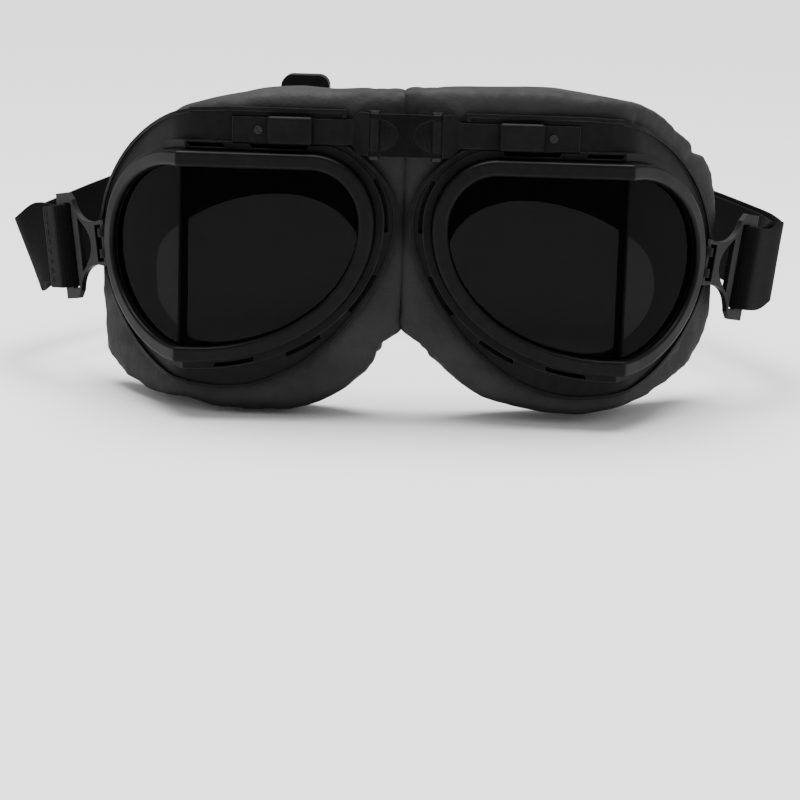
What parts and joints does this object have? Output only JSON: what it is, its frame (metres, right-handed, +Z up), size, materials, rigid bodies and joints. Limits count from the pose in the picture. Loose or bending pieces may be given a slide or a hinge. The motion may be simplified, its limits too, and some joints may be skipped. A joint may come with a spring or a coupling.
{
  "type": "aviator goggles",
  "caption": "Aviator flying goggles: two split-pane metal eyecups hinged on a bridge link, a leather face cushion, and a webbing strap on swinging bails with a slider.",
  "frame": {"origin": "on the centre plane, where the cushion meets the bridge of the wearer's nose", "axes": "+X to the right seen from the front, +Y back towards the wearer's head, +Z up"},
  "size_m": [0.2375, 0.1672, 0.0908],
  "materials": {
    "black_metal": "satin",
    "smoke_lens": "gloss",
    "black_rubber": "matte",
    "black_leather": "matte",
    "webbing": "matte"
  },
  "bodies": {
    "bridge": {"bridge_link": "black_metal", "hinge_pin_right": "black_metal", "hinge_pin_left": "black_metal", "nose_pad": "black_leather"},
    "eye_right": {"bezel_right": "black_metal", "lens_front_right": "smoke_lens", "lens_side_right": "smoke_lens", "lens_strip_right": "black_rubber", "lens_gasket_right": "black_rubber", "eyecup_right": "black_metal", "face_pad_right": "black_leather", "bridge_bracket_right": "black_metal", "bracket_keeper_right": "black_metal", "bracket_screw_right": "black_metal"},
    "eye_left": {"bezel_left": "black_metal", "lens_front_left": "smoke_lens", "lens_side_left": "smoke_lens", "lens_strip_left": "black_rubber", "lens_gasket_left": "black_rubber", "eyecup_left": "black_metal", "face_pad_left": "black_leather", "bridge_bracket_left": "black_metal", "bracket_keeper_left": "black_metal", "bracket_screw_left": "black_metal"},
    "bail_right": {"bail_right": "black_metal"},
    "bail_left": {"bail_left": "black_metal"},
    "tab_right": {"strap_tab_right": "webbing"},
    "tab_left": {"strap_tab_left": "webbing"},
    "strap_right": {"strap_outer_right": "webbing", "strap_inner_right": "webbing"},
    "strap_left": {"strap_left": "webbing"},
    "slider": {"strap_slider": "black_metal"}
  },
  "joints": [
    {"name": "eye_right_fold", "type": "hinge", "parent": "bridge", "child": "eye_right", "pos_m": [0.0085, -0.0227, 0.03585], "axis": [0, 0, 1], "range_deg": [-4, 8], "deforming": ["nose_pad"]},
    {"name": "eye_left_fold", "type": "hinge", "parent": "bridge", "child": "eye_left", "pos_m": [-0.0085, -0.0227, 0.03585], "axis": [0, 0, 1], "range_deg": [-8, 4], "deforming": ["nose_pad"]},
    {"name": "bail_right_swing", "type": "hinge", "parent": "eye_right", "child": "bail_right", "pos_m": [0.08842, 0.01406, -0.0025], "axis": [0.1375, 0.1196, 0.9833], "range_deg": [-20, 7]},
    {"name": "bail_left_swing", "type": "hinge", "parent": "eye_left", "child": "bail_left", "pos_m": [-0.08842, 0.01406, -0.0025], "axis": [-0.1375, 0.1196, 0.9833], "range_deg": [-7, 20]},
    {"name": "tab_right_turn", "type": "hinge", "parent": "bail_right", "child": "tab_right", "pos_m": [0.10186, 0.02574, -0.0058], "axis": [0.1375, 0.1196, 0.9833], "range_deg": [-7, 20]},
    {"name": "tab_left_turn", "type": "hinge", "parent": "bail_left", "child": "tab_left", "pos_m": [-0.10186, 0.02574, -0.0058], "axis": [-0.1375, 0.1196, 0.9833], "range_deg": [-20, 7]},
    {"name": "strap_right_flex", "type": "hinge", "parent": "tab_right", "child": "strap_right", "pos_m": [0.10995, 0.03752, -0.0058], "axis": [0, 0, 1], "range_deg": [-8, 4]},
    {"name": "strap_left_flex", "type": "hinge", "parent": "tab_left", "child": "strap_left", "pos_m": [-0.10995, 0.03752, -0.0058], "axis": [0, 0, 1], "range_deg": [-4, 8]},
    {"name": "slider_slide", "type": "slide", "parent": "strap_right", "child": "slider", "axis": [1, 0, 0], "range_m": [0, 0.045]}
  ],
  "couplings": [
    {"joint": "eye_left_fold", "follows": "eye_right_fold", "ratio": -1},
    {"joint": "strap_right_flex", "follows": "eye_right_fold", "ratio": -1},
    {"joint": "strap_left_flex", "follows": "eye_right_fold", "ratio": 1},
    {"joint": "bail_left_swing", "follows": "bail_right_swing", "ratio": -1},
    {"joint": "tab_right_turn", "follows": "bail_right_swing", "ratio": -1},
    {"joint": "tab_left_turn", "follows": "bail_right_swing", "ratio": 1}
  ]
}
